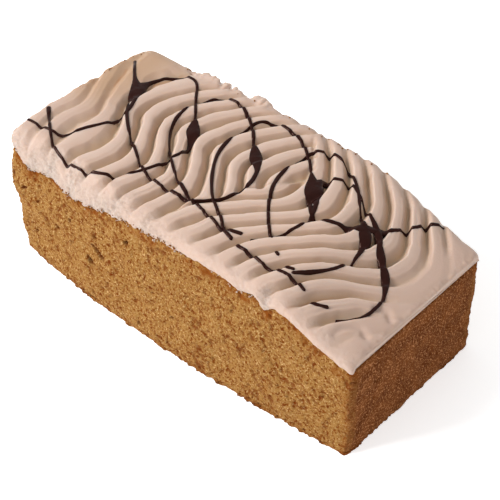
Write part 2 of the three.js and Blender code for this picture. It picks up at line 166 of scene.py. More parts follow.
# Each loop has a foot, a left arc stretched by its spread, and a right arc stretched in front by its low
LEFT_ARC = [(20, -17), (9, -5), (2.5, 6), (0, 17), (0, 27), (3, 35), (10, 38)]
RIGHT_ARC = [(-38, 37), (-24, 28), (-17, 21), (-9.5, 14), (-3, 7), (0, -3), (-2, -12), (-7, -19),
             (-12, -25)]
LOOPS = [
    {"foot": [(37, -20)], "left": 13, "spread": 1, "right": 68, "low": 1.2},
    {"foot": [(26, -26), (18, -28), (11.5, -24)], "left": -19.5, "spread": 1, "right": 41, "low": 1},
    {"foot": [(24.5, -31), (8, -27), (-6, -24)], "left": -49.5, "spread": 1.4, "right": 7.5, "low": 1},
]
LAST_LOOP = {"foot": [(-18, -26.5), (-32, -25)], "left": -77.5, "spread": 1.55}
LAST_ARC = [(-50, 26), (-37, 11), (-30, -1), (-31, -14), (-36, -29), (-46, -38.5), (-60, -41.7),
            (-74, -40), (-86, -32), (-98, -22)]
CUT_END_STROKE = [(-96, 32), (-86, 22), (-76, 13.5), (-69, 1), (-68.5, -8), (-73, -20), (-78, -31),
                  (-87, -34), (-98, -35)]
FRONT_DASHES = [
    [(77, -31), (70.5, -36)],
    [(66, -33), (57, -31.5), (45, -33.5), (34, -32.5), (27, -33)],
    [(56, -27.5), (50, -30)],
    [(46, -26), (42, -24.5)],
]

# Pools in the drizzle: place along and across, and half width
POOL_HALF_HEIGHT = 1.0
POOL_LENGTH = 13
POOL_SINK = 0.9
POOLS = [(31, 14.5, 4.2), (62, 8, 3), (66, 14.5, 1.8), (74, 6.5, 2), (81.5, 0, 2), (-2, 14, 3),
         (-36, 9, 3.2), (-77, 15, 3.2)]

# Crumb relief
PORE_SLANT = 0.45
SMALL_PORES = {"rise": 0.8, "noise": [(1, 1.6, 51), (0.7, 1.0, 52)], "patches": [(0.3, 9, 58)],
               "rim": (0.4, 1.0), "depth": 0.6, "shade": 0.7}
LARGE_PORES = {"rise": 0.7, "noise": [(1, 3.8, 53)], "edge": [(0.4, 1.5, 57)],
               "rim": (0.95, 1.15), "depth": 1.5, "shade": 0.5}
GRAIN = {"height": 0.35, "noise": [(1, 1.3, 54), (0.6, 0.8, 55)]}
SWELLS = {"height": 0.3, "noise": [(1, 7, 56), (1, 17, 59)]}
BASE_CHIPS = {"height": 4, "depth": 0.7, "noise": [(0.9, 2.6, 60)]}
RELIEF_KEPT = {"at_base": 0.8, "base_height": (0.2, 1.5), "on_crust": 0.5}
CAP_SHARES = (0.96, 0.85, 0.6, 0.3)

# Holes in the front: place along and up, half length, half height and rise along it
HOLES = [(-44, 30.5, 4, 2, -0.45), (-49, 23, 1.9, 1.4, -0.6), (-25, 47, 1.6, 1.2, 0)]
HOLE_DEPTH = 3
HOLE_WALL = (0.5, 1.1)
HOLE_SHADE = (0.7, 1.2)
HOLE_EDGE = [(0.3, 1.3, 64)]

# Where the crust and the browned crumb lie
CRUST = {"start": 2.2, "full": 1, "edge": [(0.6, 2, 62)], "least": 0.45,
         "from_front": 0.03, "from_back": 0.06, "from_base": 4}
BROWNED = {"start": 9, "full": 1, "usual": 0.5, "patches": [(0.8, 1.8, 57), (0.7, 5, 63)],
           "at_base": 0.45, "base_height": 2.5, "at_tin": 0.5, "tin_length": 6}

# Loose crumbs, and flecks of icing under its front lip; each is a dented ball of twenty faces
CUT_END_CRUMBS = {"count": 14, "inward": (0.3, 2), "from_front": 6, "from_back": 3}
BACK_CRUMBS = {"count": 30, "along": (-75, 48), "inward": (0.5, 4)}
FRONT_CRUMBS = {"count": 110, "along": (-96, 10), "outward": 0.3, "up": (-0.6, 1.6)}
FLECKS = {"count": 110, "along": (-96, 50), "drop": 3}
CRUMB_RADIUS = (0.25, 0.6)
CRUMB_DENTS = (0.6, 1.15)
CRUMB_SQUEEZE = (0.6, 1.2)
CRUMB_LIFT = 0.3
GOLDEN = (1 + 5 ** 0.5) / 2
BALL_EDGE = 2
CRUMB_SHARES = {"pore_shade": 0, "hole": 0, "browned": 0.4, "crust": 0}
FLECK_SHARES = {"groove_and_cut_end_shade": 0, "crest_highlight": 0, "whipped": 1, "stain_and_shade": 0.1}
SCATTER_SEED = 61

# Crumb colours in screen values; a colour noise is size, detail and roughness
CRUMB_SURFACE = {"roughness": 0.9, "specular": 0.05}
CRUMB_DRIFT = (14, 3, 0.5)
CRUMB_TONES = ((160, 119, 66), (149, 106, 54))
# Pale grains: partly paler crumb, partly painted highlights on the crumb's lit edges
PALE_GRAINS_AND_HIGHLIGHTS = {"noise": (0.8, 3, 0.5), "span": (0.52, 0.7), "tone": (196, 158, 106)}
# Brown flecks: partly browner crumb, partly painted shade of tiny pores
BROWN_FLECKS_AND_PORE_SHADE = {"noise": (1.2, 4, 0.65), "span": (0.51, 0.6), "tone": (122, 67, 23)}
# Painted shade: dark spots standing for the crumb's shaded hollows
HOLLOW_SHADE_SPOTS = {"noise": (2.2, 3, 0.6), "span": (0.59, 0.67), "tone": (108, 52, 14)}
BROWNED_TONE = (128, 69, 21)
# Painted shade: the tone of the crumb's pores
PORE_SHADE_TONE = (110, 47, 10)
# Painted shade: the tone of the front's holes, and of the large pores at half strength
HOLE_SHADE_TONE = (88, 35, 7)
CRUST_TONE = (93, 46, 13)
CRUST_PATCHES = {"noise": (11, 3, 0.5), "span": (0.35, 0.65), "tone": (117, 65, 28)}
CRUST_GRAIN = {"noise": (0.9, 4, 0.7), "span": (0.49, 0.68), "tone": (198, 137, 90)}
CRUMB_BUMP = {"noise": (1.0, 5, 0.7), "depth": 0.7}

# Icing and chocolate colours
ICING_SURFACE = {"roughness": 0.46, "specular": 0.3}
ICING_DRIFT = (18, 2, 0.5)
ICING_TONES = ((200, 173, 157), (194, 166, 150))
# Painted shade: the darker, yellower tone of the grooves and of the icing by the cut end
GROOVE_SHADE_TONE = (192, 165, 137)
# Painted highlight: the lighter tone of the crests and the back tufts
CREST_HIGHLIGHT_TONE = (212, 188, 173)
# Stain tone: partly real coffee stain, partly painted shade in the groove bottoms and by the cut end
STAIN_AND_SHADE_TONE = (164, 108, 60)
FOAM_TONE = (182, 162, 149)
# Lighter specks on the foam: partly its own texture, partly painted highlights
FOAM_SPECKS_AND_HIGHLIGHTS = {"noise": (1.5, 4, 0.65), "span": (0.4, 0.62), "tone": (196, 179, 167)}
FOAM_BUMP = {"noise": (1.0, 5, 0.7), "span": (-0.22, 0.8), "depth": 1.0}
ICING_GLOW = {"share": 0.7, "reach": 2, "red_green_blue": (1, 0.8, 0.6)}
CHOCOLATE_SURFACE = {"roughness": 0.16, "specular": 0.16}
CHOCOLATE_DRIFT = (3, 2, 0.5)
CHOCOLATE_TONES = ((32, 13, 11), (46, 21, 17))
CHOCOLATE_SHEEN = (255, 208, 190)
CHOCOLATE_BUMP = {"noise": (1.4, 2, 0.5), "depth": 0.2}

# How finely each surface is divided, and the ridges are searched
ICING_COLUMNS = 450
FRONT_ROLL_ROWS = 26
MIDDLE_ROWS = 160
BACK_ROLL_ROWS = 10
BACK_LIP_ROWS = 4
UNDERSIDE_ROWS = 4
SPONGE_ROWS = 104
FRONT_COLUMNS = 345
BACK_COLUMNS = 240
END_COLUMNS = 130
ROUTE_STEPS = 24
DRIZZLE_STEP = 0.45
DRIZZLE_SIDES = 16
NOISE_TABLE = 509
MOST_RIDGES = 20.0
HALVINGS = 40

# Camera, fitted to the photograph, and stage; places and sizes of the stage are in metres
AZIMUTH = 41.7
ELEVATION = 41.7
DISTANCE = 635
TARGET = (6, 1, 30)
FOCAL_PIXELS = 1400
IMAGE_PIXELS = 500
SENSOR = 36
KEY_LIGHT = {"place": (-0.5, -0.78, 0.8), "target": (0, 0, 0.04), "size": 0.4, "power": 13.4}
SKY_STRENGTH = 0.6
FLOOR_HALF = 3.0
FLOOR_SURFACE = {"roughness": 0.9, "specular": 0.1}
FLOOR_GLOW = 0.5
FLOOR_WHITE = (0.93, 0.93, 0.93, 1)
WHITE = (1, 1, 1, 1)

# Colour sockets of Blender's mix node, and the least length that is divided by
MIX_LOW = 6
MIX_HIGH = 7
MIX_RESULT = 2
TINY = 1e-9


def lerp(low, high, share):
    return low + (high - low) * share


def smoothstep(value, low, high):
    share = np.clip((value - low) / (high - low), 0, 1)
    return share * share * (3 - 2 * share)


def bell(offset, half_width):
    return np.exp(-((offset / half_width) ** 2))


def wave(x, height, rate, shift):
    return height * np.sin(x * rate + shift)


def quarter_round(inward, width):
    return 1 - np.sqrt(1 - (1 - np.clip(inward / width, 0, 1)) ** 2)


def along(pairs, place):
    """Value of a line given by a few (place, value) pairs with places falling, eased between them."""
    knots, values = np.array(pairs[::-1], float).T
    slopes = np.empty_like(values)
    slopes[1:-1] = (values[2:] - values[:-2]) / (knots[2:] - knots[:-2])
    slopes[[0, -1]] = (values[[1, -1]] - values[[0, -2]]) / (knots[[1, -1]] - knots[[0, -2]])
    place = np.clip(place, knots[0], knots[-1])
    k = np.clip(np.searchsorted(knots, place) - 1, 0, len(knots) - 2)
    span = knots[k + 1] - knots[k]
    t = (place - knots[k]) / span
    rise = values[k] * (1 + 2 * t) * (1 - t) ** 2 + slopes[k] * span * t * (1 - t) ** 2
    return rise + values[k + 1] * t * t * (3 - 2 * t) + slopes[k + 1] * span * t * t * (t - 1)


def noise(u, v, cell, seed):
    """Smooth noise from -1 to 1 over a plane, with bumps about a cell apart."""
    table = np.random.default_rng(seed).uniform(-1, 1, (NOISE_TABLE, NOISE_TABLE))
    u, v = np.broadcast_arrays(np.asarray(u, float) / cell, np.asarray(v, float) / cell)
    left = np.floor(u).astype(int)
    low = np.floor(v).astype(int)
    share_u = smoothstep(u - left, 0, 1)
    share_v = smoothstep(v - low, 0, 1)

    def corner(du, dv):
        return table[(left + du) % NOISE_TABLE, (low + dv) % NOISE_TABLE]

    bottom = lerp(corner(0, 0), corner(1, 0), share_u)
    top = lerp(corner(0, 1), corner(1, 1), share_u)
    return lerp(bottom, top, share_v)


def layered(layers, u, v):
    """Sum of the noises over a plane that a list of layers gives."""
    return sum(height * noise(u, v, cell, seed) for height, cell, seed in layers)


# Loaf form
def bow_at(x):
    return 1 - (x / HALF) ** 2


def half_width_at(x, z, side):
    skew = x / HALF
    base = BASE_HALF_WIDTH + BASE_FLARE * skew + BASE_BOW * bow_at(x) * (1 - BASE_SKEW * skew)
    top = side["half_width"] + side["bow"] * bow_at(x)
    cut_end_shade = bell(x + HALF, CUT_BULGE["length"]) * bell(z - CUT_BULGE["height"], CUT_BULGE["spread"])
    return lerp(base, top, np.clip(z / SIDE_HEIGHT, 0, 1)) + CUT_BULGE["depth"] * cut_end_shade


def corner_inset(x):
    past = np.clip(np.abs(x) - (HALF - CORNER_RADIUS), 0, CORNER_RADIUS)
    return CORNER_RADIUS - np.sqrt(CORNER_RADIUS ** 2 - past ** 2)


def across_at(y):
    return np.clip(y / FRONT["half_width"], -1, 1)


def crown(x, y):
    across = across_at(y)
    to_back = (across + 1) / 2
    start = lerp(TIN_DROP_START["front"], TIN_DROP_START["back"], to_back)
    drop = lerp(TIN_DROP["front"], TIN_DROP["back"], to_back) * smoothstep(x, start, TIN_DROP_END)
    return CROWN_HEIGHT - CROWN_SLOPE * x + CROWN_TILT * across * smoothstep(x, -HALF, 0) - drop


def icing_thickness(x):
    middle = lerp(ICING_THICK, ICING_THIN, smoothstep(x, *THINNING))
    inside = lerp(middle, ICING_AT_TIN_END, smoothstep(x, *TIN_END_THINNING))
    return lerp(ICING_AT_CUT_END, inside, smoothstep(x, *CUT_END_THINNING))


def sponge_top(x, y):
    inside = (1 - across_at(y) ** 2) * smoothstep(HALF - np.abs(x), 0, ICING_FILL["from_end"])
    return crown(x, y) - icing_thickness(x) - ICING_FILL["depth"] * inside


def side_lump(x, z):
    fade = smoothstep(z, *LUMP_FADE_LOW) * (1 - smoothstep(z, *LUMP_FADE_HIGH))
    broad = wave(x, *BROAD_LUMPS) * np.sin(z * LUMP_RATE_UP)
    return fade * (broad + wave(x, *SMALL_LUMPS, z * SMALL_LUMP_SLANT))


# Combed ridges
def comb_profile(phase):
    """Height of the ridges, 0 in a groove to 1 on a rim, with the corners a little rounded."""
    steps = np.linspace(-RIM_ROUNDING, RIM_ROUNDING, RIM_SAMPLES)
    places, heights = np.array(COMB_PROFILE).T
    return sum(np.interp((phase + step) % 1, places, heights) for step in steps) / len(steps)


def first_comb_phase(x, y):
    """Ridges counted along the loaf to a place, found by halving, as their bend changes along it."""
    cut_end = along(CUT_END_BEND, y)
    usual = along(FIRST_BEND, y)
    low = np.full_like(x, -MOST_RIDGES)
    high = np.full_like(x, MOST_RIDGES)
    for _ in range(HALVINGS):
        middle = (low + high) / 2
        straight = FIRST_RIM + FIRST_PITCH * middle
        line = straight + lerp(cut_end, usual, smoothstep(straight, *CUT_END_BLEND))
        low = np.where(line < x, middle, low)
        high = np.where(line < x, high, middle)
    return low


def second_comb_phase(x, y):
    return (x - SECOND_RIM - along(SECOND_BEND, y)) / SECOND_PITCH


def second_comb_share(x, y):
    border = along(COMB_BORDER, y)
    return smoothstep(x, border - COMB_BORDER_BLUR, border + COMB_BORDER_BLUR)


def comb_share(x, y):
    """Share of the full groove depth at a place: 1 in the middle, less at the shoulder and the ends."""
    def fade(place, start, end, share):
        return lerp(1, share, np.clip((place - start) / (end - start), 0, 1))

    ends = fade(x, *CUT_END_FADE) * fade(x, *TIN_END_FADE)
    return ends * fade(y, *FRONT_FADE) * fade(y, *BACK_FADE)


def comb_ridge(x, y):
    """Height of the ridges, 0 in a groove to 1 on a crest, and the streaks that run along them."""
    share = second_comb_share(x, y)
    waver = layered(COMB_WAVER, x, y)
    first_phase = first_comb_phase(x, y) + waver
    second_phase = second_comb_phase(x, y) + waver
    ridge = lerp(comb_profile(first_phase), comb_profile(second_phase), share)
    across = lerp(first_phase * FIRST_PITCH, second_phase * SECOND_PITCH, np.round(share))
    lengthwise = y * COMB_STREAK["width"] / COMB_STREAK["length"]
    return ridge, noise(across, lengthwise, COMB_STREAK["width"], COMB_STREAK["seed"])


def comb_relief(x, y):
    depth = np.minimum(COMB_DEPTH * comb_share(x, y), crown(x, y) - sponge_top(x, y) - LEAST_ICING)
    ridge, streak = comb_ridge(x, y)
    return (ridge - 1) * depth + streak * COMB_STREAK["height"] * comb_share(x, y)


def crescent_depth(x, y):
    """Depth of the short curved marks that the comb's lifting left by the tin end."""
    depth = np.zeros_like(x)
    for crescent in CRESCENTS:
        for route_x, route_y in smooth_route(crescent):
            away = np.hypot(x - route_x, y - route_y)
            depth = np.maximum(depth, CRESCENT_DEPTH * bell(away, CRESCENT_HALF_WIDTH))
    return depth


# Icing edges
def front_hang(x):
    return along(FRONT_HANG, x)


def curtain_share(x):
    """How far the icing hangs over the front like a curtain at a place along the loaf, from 0 to 1."""
    return smoothstep(front_hang(x), *CURTAIN_HANG)


def front_lip(x):
    return crown(x, -FRONT["half_width"]) - front_hang(x)


def back_lip(x):
    return crown(x, BACK["half_width"]) - icing_thickness(x) - BACK_HANG - wave(x, *BACK_WAVE)


def icing_edge(x, side):
    lip = front_lip(x) if side is FRONT else back_lip(x)
    return side["sign"] * (half_width_at(x, lip, side) - corner_inset(x) + ICING_LIP)


def front_rounding(x, y):
    """How far the icing has rolled over its front edge at a place, from 0 to 1 at the edge."""
    return quarter_round(y - icing_edge(x, FRONT), FRONT_ROLL["width"])


def scallops(x, y):
    """Height of the waves in which the ridges run out over the shoulder above the curtain."""
    ridge, _ = comb_ridge(x, y)
    down = front_rounding(x, y) ** 0.5
    on_shoulder = smoothstep(down, *SCALLOPS["start"]) * (1 - smoothstep(down, *SCALLOPS["end"]))
    return SCALLOPS["height"] * (ridge - SCALLOPS["level"]) * on_shoulder * curtain_share(x)


def icing_top(x, y):
    back_roll = quarter_round(icing_edge(x, BACK) - y, BACK_ROLL["width"])
    tin_roll = quarter_round(ICING_END - x, TIN_ROLL["width"])
    cut_roll = quarter_round(x + HALF, CUT_ROLL["width"])
    front_drop = (front_hang(x) - FRONT_ROLL["lip_height"]) * front_rounding(x, y)
    end_drop = TIN_ROLL["drop"] * tin_roll + CUT_ROLL["drop"] * cut_roll
    relief = comb_relief(x, y) + scallops(x, y)
    return crown(x, y) + relief - front_drop - BACK_ROLL["drop"] * back_roll - end_drop


# Meshes
def new_piece(name, points, faces, material, node=None, values=None):
    """A smooth mesh piece from points in millimetres, with named values at them for its material."""
    mesh = bpy.data.meshes.new(name)
    mesh.from_pydata((points * MM).tolist(), [], faces)
    mesh.validate()
    for key, value in (values or {}).items():
        layer = mesh.attributes.new(key, "FLOAT", "POINT")
        layer.data.foreach_set("value", np.asarray(value, np.float32).ravel())
    mesh.polygons.foreach_set("use_smooth", np.ones(len(mesh.polygons), bool))
    mesh.materials.append(material)
    piece = bpy.data.objects.new(name, mesh)
    bpy.context.collection.objects.link(piece)
    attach(piece, "root")
    if node:
        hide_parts(node)


def tube_faces(rings, size):
    """Faces of a tube of rings with as many points each: four-sided walls, and a cap over each end."""
    ring = np.arange(rings - 1)[:, None]
    k = np.arange(size)[None, :]
    a = ring * size + k
    b = ring * size + (k + 1) % size
    walls = np.stack([a, b, b + size, a + size], -1).reshape(-1, 4).tolist()
    last = (rings - 1) * size
    return walls + [list(range(size))[::-1], list(range(last, last + size))]


def joined(parts):
    """Points and faces of several parts, each given by its own, as those of one mesh."""
    points, faces = [], []
    start = 0
    for own_points, own_faces in parts:
        points.append(own_points)
        faces += [[start + corner for corner in face] for face in own_faces]
        start += len(own_points)
    return np.vstack(points), faces


def normals_of(grid, closed_rings):
    """Outward directions of a grid of rings of points."""
    def turned(axis, wrap):
        if wrap:
            return np.roll(grid, -1, axis) - np.roll(grid, 1, axis)
        return np.gradient(grid, axis=axis)

    across = np.cross(turned(0, closed_rings), turned(1, True))
    return across / np.maximum(np.linalg.norm(across, axis=-1, keepdims=True), TINY)


# Materials
def colour(red, green, blue):
    """A shader colour from the 0 to 255 values of a screen colour, by the sRGB curve."""
    def linear(value):
        share = value / 255
        return share / 12.92 if share <= 0.04045 else ((share + 0.055) / 1.055) ** 2.4

    return linear(red), linear(green), linear(blue), 1


class Shades:
    """A new material and short calls for its nodes; places are in metres in the part's frame."""

    def __init__(self, name, roughness, specular):
        self.material = bpy.data.materials.new(name)
        self.material.use_nodes = True
        self.tree = self.material.node_tree
        self.shader = self.tree.nodes["Principled BSDF"]
        self.shader.inputs["Roughness"].default_value = roughness
        self.shader.inputs["Specular IOR Level"].default_value = specular
        self.place = self.tree.nodes.new("ShaderNodeTexCoord").outputs["Object"]

    def put(self, value, socket):
        if isinstance(value, bpy.types.NodeSocket):
            self.tree.links.new(value, socket)
        else:
            socket.default_value = value

    def value(self, name):
        node = self.tree.nodes.new("ShaderNodeAttribute")
        node.attribute_name = name
        return node.outputs["Fac"]

    def noise(self, size, detail, roughness):
        node = self.tree.nodes.new("ShaderNodeTexNoise")
        self.put(self.place, node.inputs["Vector"])
        node.inputs["Scale"].default_value = 1 / (size * MM)
        node.inputs["Detail"].default_value = detail
        node.inputs["Roughness"].default_value = roughness
        return node.outputs["Fac"]

    def between(self, value, low, high):
        node = self.tree.nodes.new("ShaderNodeMapRange")
        node.interpolation_type = "SMOOTHSTEP"
        self.put(value, node.inputs["Value"])
        node.inputs["From Min"].default_value = low
        node.inputs["From Max"].default_value = high
        return node.outputs["Result"]

    def times(self, first, second):
        node = self.tree.nodes.new("ShaderNodeMath")
        node.operation = "MULTIPLY"
        self.put(first, node.inputs[0])
        self.put(second, node.inputs[1])
        return node.outputs[0]

    def mix(self, share, low, high):
        """A mix of two colours, through the mix node's colour sockets."""
        node = self.tree.nodes.new("ShaderNodeMix")
        node.data_type = "RGBA"
        self.put(share, node.inputs[0])
        self.put(low, node.inputs[MIX_LOW])
        self.put(high, node.inputs[MIX_HIGH])
        return node.outputs[MIX_RESULT]

    def drift(self, kind, tones):
        """A ground colour that drifts between two tones."""
        first, second = tones
        return self.mix(self.noise(*kind), colour(*first), colour(*second))

    def spots(self, kind, ground):
        """A ground colour with spots of a kind on it."""
        share = self.between(self.noise(*kind["noise"]), *kind["span"])
        return self.mix(share, ground, colour(*kind["tone"]))

    def tint(self, name, ground, tone):
        """A ground colour that turns to a tone by the mesh's value of a name."""
        return self.mix(self.value(name), ground, colour(*tone))

    def bump(self, height, depth):
        node = self.tree.nodes.new("ShaderNodeBump")
        node.inputs["Distance"].default_value = depth * MM
        self.put(height, node.inputs["Height"])
        self.put(node.outputs["Normal"], self.shader.inputs["Normal"])

    def finish(self, tone):
        self.put(tone, self.shader.inputs["Base Color"])
        return self.material


def crumb_material():
    shades = Shades("crumb", **CRUMB_SURFACE)
    # Pale grains, partly painted highlights
    grains_and_highlights = shades.spots(PALE_GRAINS_AND_HIGHLIGHTS, shades.drift(CRUMB_DRIFT, CRUMB_TONES))
    # Brown flecks, partly painted shade, and spots of painted hollow shade
    hollow_shade = shades.spots(HOLLOW_SHADE_SPOTS, shades.spots(BROWN_FLECKS_AND_PORE_SHADE, grains_and_highlights))
    browned = shades.tint("browned", hollow_shade, BROWNED_TONE)
    # Painted shade in the pores
    pores = shades.tint("pore_shade", browned, PORE_SHADE_TONE)
    # Painted shade in the holes and large pores
    shaded_holes = shades.tint("hole", pores, HOLE_SHADE_TONE)
    crust = shades.spots(CRUST_GRAIN, shades.spots(CRUST_PATCHES, colour(*CRUST_TONE)))
    shades.bump(shades.noise(*CRUMB_BUMP["noise"]), CRUMB_BUMP["depth"])
    return shades.finish(shades.mix(shades.value("crust"), shaded_holes, crust))


def icing_material():
    shades = Shades("coffee_icing", **ICING_SURFACE)
    # Painted shade in the grooves and by the cut end
    groove_and_cut_end_shade = shades.tint("groove_and_cut_end_shade", shades.drift(ICING_DRIFT, ICING_TONES), GROOVE_SHADE_TONE)
    # Painted highlight on the crests and the back tufts
    highlighted_crests = shades.tint("crest_highlight", groove_and_cut_end_shade, CREST_HIGHLIGHT_TONE)
    # Foam with lighter specks, partly painted highlights
    foam = shades.spots(FOAM_SPECKS_AND_HIGHLIGHTS, colour(*FOAM_TONE))
    whipped = shades.mix(shades.value("whipped"), highlighted_crests, foam)
    shades.shader.inputs["Subsurface Weight"].default_value = ICING_GLOW["share"]
    shades.shader.inputs["Subsurface Radius"].default_value = ICING_GLOW["red_green_blue"]
    shades.shader.inputs["Subsurface Scale"].default_value = ICING_GLOW["reach"] * MM
    bubbly = shades.between(shades.value("whipped"), *FOAM_BUMP["span"])
    shades.bump(shades.times(shades.noise(*FOAM_BUMP["noise"]), bubbly), FOAM_BUMP["depth"])
    # Stain, partly painted shade
    return shades.finish(shades.tint("stain_and_shade", whipped, STAIN_AND_SHADE_TONE))


def chocolate_material():
    shades = Shades("chocolate", **CHOCOLATE_SURFACE)
    shades.shader.inputs["Specular Tint"].default_value = colour(*CHOCOLATE_SHEEN)
    shades.bump(shades.noise(*CHOCOLATE_BUMP["noise"]), CHOCOLATE_BUMP["depth"])
    return shades.finish(shades.drift(CHOCOLATE_DRIFT, CHOCOLATE_TONES))


# Icing piece
def top_rows(front, back):
    """Places across the loaf of the rows of the icing's top, which are closer at its rolled edges."""
    front_turns = np.linspace(np.pi / 2, 0, FRONT_ROLL_ROWS, endpoint=False)
    shares = np.linspace(0, 1, MIDDLE_ROWS, endpoint=False)
    back_turns = np.linspace(0, np.pi / 2, BACK_ROLL_ROWS)
    rows = [front + FRONT_ROLL["width"] * (1 - math.sin(turn)) for turn in front_turns]
    rows += [lerp(front + FRONT_ROLL["width"], back - BACK_ROLL["width"], share) for share in shares]
    rows += [back - BACK_ROLL["width"] * (1 - math.sin(turn)) for turn in back_turns]
    return rows


def icing_rings():
    """The icing as closed rings of points across the loaf, one ring to each place along it."""
    x = np.linspace(-HALF, ICING_END, ICING_COLUMNS)
    front = icing_edge(x, FRONT)
    back = icing_edge(x, BACK)
    torn = lerp(TORN_LIP["least"], TORN_LIP["most"], curtain_share(x))
    lip = front_lip(x) + torn * layered(TORN_LIP["noise"], x, 0 * x)
    rows = [(front + inward, lip + up) for inward, up in LIP_SECTION]
    rows += [(y, icing_top(x, y)) for y in top_rows(front, back)]
    edge_top = rows[-1][1]
    for share in np.linspace(0, 1, BACK_LIP_ROWS + 1)[1:]:
        rows.append((back, lerp(edge_top, back_lip(x), share)))
    for share in np.linspace(0, 1, UNDERSIDE_ROWS):
        y = lerp(back - 2 * ICING_LIP, front + 2 * ICING_LIP, share)
        rows.append((y, np.minimum(sponge_top(x, y), icing_top(x, y) - LEAST_AT_EDGE)))
    return np.stack([np.stack([x, y, z], -1) for y, z in rows], 1)


def back_tufts(x, y):
    """How torn the icing is along its back edge, which it is near the cut end only."""
    along_back = smoothstep(x, *TUFTS["start"]) * (1 - smoothstep(x, *TUFTS["end"]))
    return along_back * (1 - smoothstep(icing_edge(x, BACK) - y, *TUFTS["inward"]))


def ragged_share(x, y):
    """How torn the icing is at a place: at both ends' edges, and more at the back edge."""
    at_cut = RAGGED_CUT_END["share"] * (1 - smoothstep(x + HALF, *RAGGED_CUT_END["inward"]))
    at_tin = RAGGED_TIN_END["share"] * (1 - smoothstep(ICING_END - x, *RAGGED_TIN_END["inward"]))
    return at_cut + at_tin + TUFTS["share"] * back_tufts(x, y)


def foam_share(x, y):
    """How whipped the icing is at a place: most on the curtain, less along the rest of the front."""
    foamy = FOAM["usual"] + layered(FOAM["patches"], x, y)
    on_curtain = lerp(FOAM["least"], 1, curtain_share(x))
    return np.clip(front_rounding(x, y) ** 0.5 * on_curtain * foamy, 0, 1)


def icing_relief(x, y, z):
    """How far foam, torn edges and the comb's last marks stand out from the combed form."""
    foam = layered(FOAM["lumps"], x, y + z) * foam_share(x, y)
    ragged = ragged_share(x, y) * (RAGGED["usual"] + layered(RAGGED["noise"], x, y))
    return foam + ragged - crescent_depth(x, y)


def stain_and_shade_share(x, y, ridge, cut_end_shade):
    """How coffee-stained the icing is at a place: partly real stain and partly painted shade at the
    bottoms of some grooves, and painted shade all over near the cut end.
    """
    near = sum(bell(np.hypot(x - stain_x, y - stain_y), reach) for stain_x, stain_y, reach in STAIN_AND_SHADE_SPOTS)
    patchy = STAIN_AND_SHADE["usual"] + layered(STAIN_AND_SHADE["patches"], x, y)
    in_grooves = smoothstep(1 - ridge, *STAIN_AND_SHADE["groove"]) * near * patchy
    return STAIN_AND_SHADE["strength"] * np.clip(np.maximum(in_grooves, STAIN_AND_SHADE["cut_end"] * cut_end_shade), 0, 1)


def icing_shares(x, y):
    """Shares of the icing's colours at each place, by name."""
    ridge, _ = comb_ridge(x, y)
    combed = comb_share(x, y)
    # Painted shade by the cut end: darker icing, with the crest highlight taken off there
    at_cut = smoothstep(-x, *CUT_END_SHADE["along"]) * smoothstep(y, *CUT_END_SHADE["across"])
    cut_end_shade = CUT_END_SHADE["share"] * at_cut
    # Painted highlight on the crests, less by the cut end
    on_lit_crest = smoothstep(ridge, CREST_HIGHLIGHT_START, 1) * combed * (1 - cut_end_shade)
    return {
        # Painted shade: deeper in the grooves, and all over by the cut end
        "groove_and_cut_end_shade": np.maximum((1 - ridge) * combed, cut_end_shade),
        # The back tufts get the same painted highlight, though they lie in shade
        "crest_highlight": np.maximum(on_lit_crest, back_tufts(x, y)),
        "whipped": foam_share(x, y),
        "stain_and_shade": stain_and_shade_share(x, y, ridge, cut_end_shade),
    }


def icing_piece():
    rings = icing_rings()
    columns, size, _ = rings.shape
    x, y, z = np.moveaxis(rings, -1, 0)
    raised = icing_relief(x, y, z)
    raised[:, size - UNDERSIDE_ROWS:] = 0
    points = (rings + normals_of(rings, False) * raised[..., None]).reshape(-1, 3)
    faces = tube_faces(columns, size)
    values = icing_shares(x, y)
    new_piece("icing_combed", points, faces, icing_material(), "icing", values)


# Drizzle piece
def smooth_route(points):
    """Plan points at even steps along the smooth curve through a stroke's points."""
    points = np.array(points, float)
    ends = 2 * points[[0, -1]] - points[[1, -2]]
    p = np.vstack([ends[:1], points, ends[1:]])
    gaps = np.linalg.norm(np.diff(p, axis=0), axis=1) ** 0.5
    t = np.linspace(0, 1, ROUTE_STEPS, endpoint=False)[:, None]
    pieces = []
    for k in range(1, len(p) - 2):
        before, span, after = gaps[k - 1:k + 2]
        straight = (p[k + 1] - p[k]) / span
        leave = (p[k] - p[k - 1]) / before - (p[k + 1] - p[k - 1]) / (before + span) + straight
        reach = straight - (p[k + 2] - p[k]) / (span + after) + (p[k + 2] - p[k + 1]) / after
        pieces.append((2 * t ** 3 - 3 * t ** 2 + 1) * p[k] + (t ** 3 - 2 * t ** 2 + t) * span * leave
                      + (3 * t ** 2 - 2 * t ** 3) * p[k + 1] + (t ** 3 - t ** 2) * span * reach)
    route = np.vstack(pieces + [p[-2:-1]])
    reached = np.concatenate([[0], np.cumsum(np.linalg.norm(np.diff(route, axis=0), axis=1))])
    even = np.linspace(0, reached[-1], int(reached[-1] / DRIZZLE_STEP))
    return np.stack([np.interp(even, reached, route[:, k]) for k in (0, 1)], 1)


def left_arc(loop):
    return [(loop["left"] + dx * loop["spread"], y) for dx, y in LEFT_ARC]


def right_arc(loop):
    return [(loop["right"] + dx, y * loop["low"] if y < 0 else y) for dx, y in RIGHT_ARC]


def drizzle_routes():
    """Each loop's stroke runs from its foot up its left arc and down its right arc."""
    loops = [[*loop["foot"], *left_arc(loop), *right_arc(loop)] for loop in LOOPS]
    last = [loops[-1][-1], *LAST_LOOP["foot"], *left_arc(LAST_LOOP), *LAST_ARC]
    strokes = [[*TAIL, *WIDE_ARC], *loops, last, CUT_END_STROKE, *FRONT_DASHES]
    return [smooth_route(stroke) for stroke in strokes]


